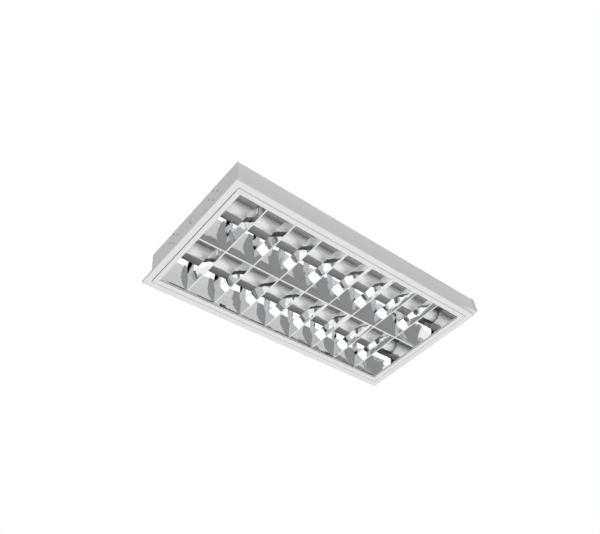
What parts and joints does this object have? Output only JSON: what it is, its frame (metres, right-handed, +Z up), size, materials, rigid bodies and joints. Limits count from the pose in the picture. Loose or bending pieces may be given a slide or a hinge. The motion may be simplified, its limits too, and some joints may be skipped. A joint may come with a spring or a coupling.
{
  "type": "recessed troffer light",
  "caption": "Recessed ceiling light: folded sheet housing with a raised lamp end, twin straight tubes and a hinged double-parabolic louver with cross blades.",
  "frame": {"origin": "centre of the lower face of the housing's flange, in the plane that rests on the ceiling grid", "axes": "+X along the tubes towards the raised lamp-end box, +Y across towards the side with the catches, +Z up into the ceiling"},
  "size_m": [0.6338, 0.295, 0.07],
  "materials": {
    "white_steel": "smooth white powder coat",
    "white_rail": "smooth white powder coat",
    "mirror_aluminium": "bright anodised mirror finish",
    "tube_glass": "opal: phosphor coated inside",
    "cap_metal": "satin",
    "pin_brass": "plain",
    "white_plastic": "moulded",
    "ballast_metal": "galvanised",
    "spring_steel": "plain",
    "screw_steel": "zinc plated",
    "lead_white": "smooth insulation",
    "lead_green": "smooth insulation",
    "lug_metal": "tinned"
  },
  "bodies": {
    "housing": {"housing_pan": "white_steel", "near_end_plate": "white_steel", "far_end_plate": "white_steel", "lampholder_near_1": "white_plastic", "lampholder_near_2": "white_plastic", "lampholder_far_1": "white_plastic", "lampholder_far_2": "white_plastic", "ballast_case": "ballast_metal", "ballast_terminals": "white_plastic", "ballast_screws": "screw_steel", "terminal_block": "white_plastic", "terminal_screws": "screw_steel", "earth_lug": "lug_metal", "earth_screw": "screw_steel", "earth_lead": "lead_green", "mains_leads": "lead_white", "tube_leads_near": "lead_white", "tube_leads_far": "lead_white", "lead_clips": "white_plastic"},
    "louver": {"rail_long_hinge": "white_rail", "rail_long_free": "white_rail", "rail_short_near": "white_rail", "rail_short_far": "white_rail", "corner_gussets": "screw_steel", "hinge_pins": "screw_steel", "catch_springs": "spring_steel", "side_reflector_hinge": "mirror_aluminium", "side_reflector_free": "mirror_aluminium", "centre_reflector": "mirror_aluminium", "end_reflector_near": "mirror_aluminium", "end_reflector_far": "mirror_aluminium", "cross_blade_1": "mirror_aluminium", "cross_blade_2": "mirror_aluminium", "cross_blade_3": "mirror_aluminium", "cross_blade_4": "mirror_aluminium", "cross_blade_5": "mirror_aluminium", "cross_blade_6": "mirror_aluminium", "cross_blade_7": "mirror_aluminium", "cross_blade_8": "mirror_aluminium"},
    "tube_1": {"tube_1_glass": "tube_glass", "tube_1_caps": "cap_metal", "tube_1_pins": "pin_brass", "tube_1_rotors": "white_plastic"},
    "tube_2": {"tube_2_glass": "tube_glass", "tube_2_caps": "cap_metal", "tube_2_pins": "pin_brass", "tube_2_rotors": "white_plastic"}
  },
  "joints": [
    {"name": "louver_hinge", "type": "hinge", "parent": "housing", "child": "louver", "pos_m": [0, -0.129, 0.0028], "axis": [-1, 0, 0], "range_deg": [0, 90]},
    {"name": "tube_1_twist", "type": "hinge", "parent": "housing", "child": "tube_1", "pos_m": [0, -0.06275, 0.0515], "axis": [1, 0, 0], "range_deg": [0, 90]},
    {"name": "tube_2_twist", "type": "hinge", "parent": "housing", "child": "tube_2", "pos_m": [0, 0.06275, 0.0515], "axis": [1, 0, 0], "range_deg": [0, 90]}
  ]
}
